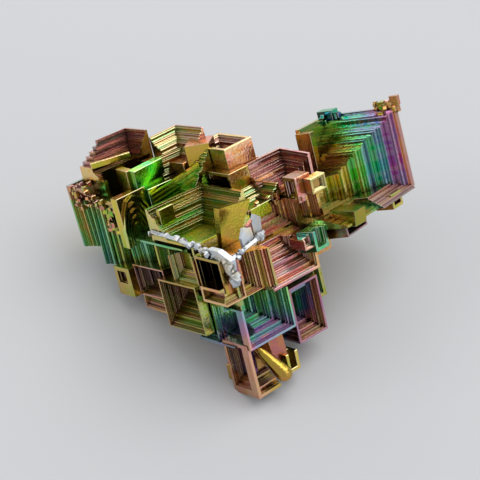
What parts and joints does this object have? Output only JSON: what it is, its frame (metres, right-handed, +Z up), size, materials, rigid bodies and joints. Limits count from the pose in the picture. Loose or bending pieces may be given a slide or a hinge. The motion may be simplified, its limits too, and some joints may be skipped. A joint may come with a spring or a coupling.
{
  "type": "bismuth hopper crystal",
  "caption": "Cluster of stepped, hollow metal cubes grown together, with iridescent terraces and a block-shaped crystal reaching out to one side.",
  "frame": {"origin": "centre of the bounding box in plan, on the surface the crystal rests on", "axes": "+Z up as it rests, +X towards the end block, -Y towards the pointed tip at the front"},
  "size_m": [0.0771, 0.0653, 0.0362],
  "materials": {
    "oxidised_bismuth": "satin metal under a thin oxide film that shines green, gold, pink, teal and violet"
  },
  "bodies": {
    "root": {"bismuth_crystal": "oxidised_bismuth"}
  },
  "joints": []
}
